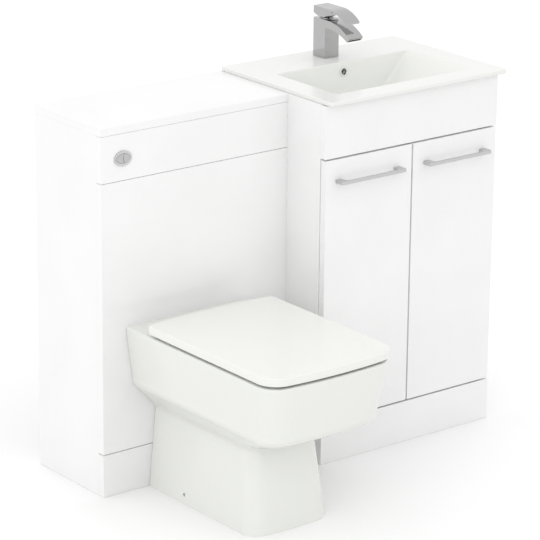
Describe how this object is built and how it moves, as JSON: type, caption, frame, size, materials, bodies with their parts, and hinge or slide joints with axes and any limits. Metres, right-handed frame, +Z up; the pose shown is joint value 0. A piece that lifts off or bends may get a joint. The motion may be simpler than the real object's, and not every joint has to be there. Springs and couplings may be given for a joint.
{
  "type": "toilet and basin combination unit",
  "caption": "Cabinet pair with a back-to-wall toilet and hidden cistern beside a two-door cupboard under a ceramic basin with a lever tap.",
  "frame": {"origin": "on the floor under the middle of the overall box", "axes": "+X to the right as seen from the front, +Y back to the wall, +Z up"},
  "size_m": [1.0154, 0.768, 0.963],
  "materials": {
    "cabinet_white": "gloss white lacquer on board",
    "sanitary_ceramic": "glossy white glaze",
    "seat_plastic": "glossy white moulding",
    "buffer_rubber": "soft, pale grey",
    "pipe_plastic": "smooth white moulding",
    "float_plastic": "smooth blue-grey moulding",
    "seal_rubber": "soft, black",
    "tap_chrome": "polished",
    "satin_chrome": "satin",
    "hinge_steel": "zinc plated",
    "stud_brass": "plain"
  },
  "bodies": {
    "unit": {"wc_side_left": "cabinet_white", "wc_side_right": "cabinet_white", "wc_top_panel": "cabinet_white", "wc_flush_facia": "cabinet_white", "wc_access_panel": "cabinet_white", "wc_plinth": "cabinet_white", "wc_rails": "cabinet_white", "cistern_tank": "pipe_plastic", "cistern_lid": "pipe_plastic", "fill_valve": "pipe_plastic", "flush_valve": "pipe_plastic", "flush_pipe": "pipe_plastic", "flush_button_bezel": "satin_chrome", "flush_button_clip": "pipe_plastic", "pan": "sanitary_ceramic", "flush_cone": "seal_rubber", "pan_connector": "pipe_plastic", "floor_brackets": "pipe_plastic", "pan_side_screws": "hinge_steel", "seat_hinge_posts": "tap_chrome", "seat_hinge_pins": "tap_chrome", "vanity_side_left": "cabinet_white", "vanity_side_right": "cabinet_white", "vanity_base": "cabinet_white", "vanity_facia": "cabinet_white", "vanity_plinth": "cabinet_white", "vanity_rails": "cabinet_white", "unit_connectors": "hinge_steel", "door_buffers": "buffer_rubber", "hinge_arms": "hinge_steel", "basin": "sanitary_ceramic", "overflow_ring": "tap_chrome", "waste_body": "tap_chrome", "waste_nut": "pipe_plastic", "trap_body": "pipe_plastic", "trap_cup": "pipe_plastic", "trap_outlet": "pipe_plastic", "tap_body": "tap_chrome", "tap_base": "seal_rubber", "tap_fixing": "stud_brass", "tap_cartridge": "tap_chrome"},
    "left_door": {"door_left": "cabinet_white", "handle_left": "satin_chrome", "handle_screws_left": "hinge_steel", "hinge_cups_left": "hinge_steel"},
    "right_door": {"door_right": "cabinet_white", "handle_right": "satin_chrome", "handle_screws_right": "hinge_steel", "hinge_cups_right": "hinge_steel"},
    "seat_ring": {"seat": "seat_plastic", "seat_buffers": "buffer_rubber"},
    "seat_lid": {"lid": "seat_plastic", "lid_buffers": "buffer_rubber"},
    "full_button": {"full_flush_button": "satin_chrome"},
    "half_button": {"half_flush_button": "satin_chrome"},
    "flush_core": {"flush_valve_core": "float_plastic"},
    "float": {"fill_float": "float_plastic"},
    "plug": {"waste_plug": "tap_chrome"},
    "spindle": {"tap_spindle": "float_plastic"},
    "lever": {"tap_lever": "tap_chrome"}
  },
  "joints": [
    {"name": "left_door_hinge", "type": "hinge", "parent": "unit", "child": "left_door", "pos_m": [-0.00425, 0.001, 0.406], "axis": [0, 0, -1], "range_deg": [0, 100]},
    {"name": "right_door_hinge", "type": "hinge", "parent": "unit", "child": "right_door", "pos_m": [0.49175, 0.001, 0.406], "axis": [0, 0, 1], "range_deg": [0, 100]},
    {"name": "seat_hinge", "type": "hinge", "parent": "unit", "child": "seat_ring", "pos_m": [-0.27775, 0.07, 0.394], "axis": [1, 0, 0], "range_deg": [-95, 0]},
    {"name": "lid_hinge", "type": "hinge", "parent": "seat_ring", "child": "seat_lid", "pos_m": [-0.27775, 0.07, 0.394], "axis": [-1, 0, 0], "range_deg": [0, 95]},
    {"name": "full_button_slide", "type": "slide", "parent": "unit", "child": "full_button", "axis": [0, 1, 0], "range_m": [0, 0.005], "stiffness_N_per_m": 600, "springref_m": -0.003},
    {"name": "half_button_slide", "type": "slide", "parent": "unit", "child": "half_button", "axis": [0, 1, 0], "range_m": [0, 0.005], "stiffness_N_per_m": 600, "springref_m": -0.003},
    {"name": "flush_core_lift", "type": "slide", "parent": "unit", "child": "flush_core", "axis": [0, 0, 1], "range_m": [0, 0.02]},
    {"name": "float_rise", "type": "slide", "parent": "unit", "child": "float", "axis": [0, 0, 1], "range_m": [0, 0.09]},
    {"name": "plug_click", "type": "slide", "parent": "unit", "child": "plug", "axis": [0, 0, 1], "range_m": [0, 0.009]},
    {"name": "tap_swivel", "type": "hinge", "parent": "unit", "child": "spindle", "pos_m": [0.25225, 0.323, 0.923], "axis": [0, 0, 1], "range_deg": [-45, 45]},
    {"name": "tap_lift", "type": "hinge", "parent": "spindle", "child": "lever", "pos_m": [0.25225, 0.323, 0.923], "axis": [-1, 0, 0], "range_deg": [0, 20]}
  ],
  "couplings": [
    {"joint": "flush_core_lift", "follows": "full_button_slide", "ratio": 4}
  ]
}
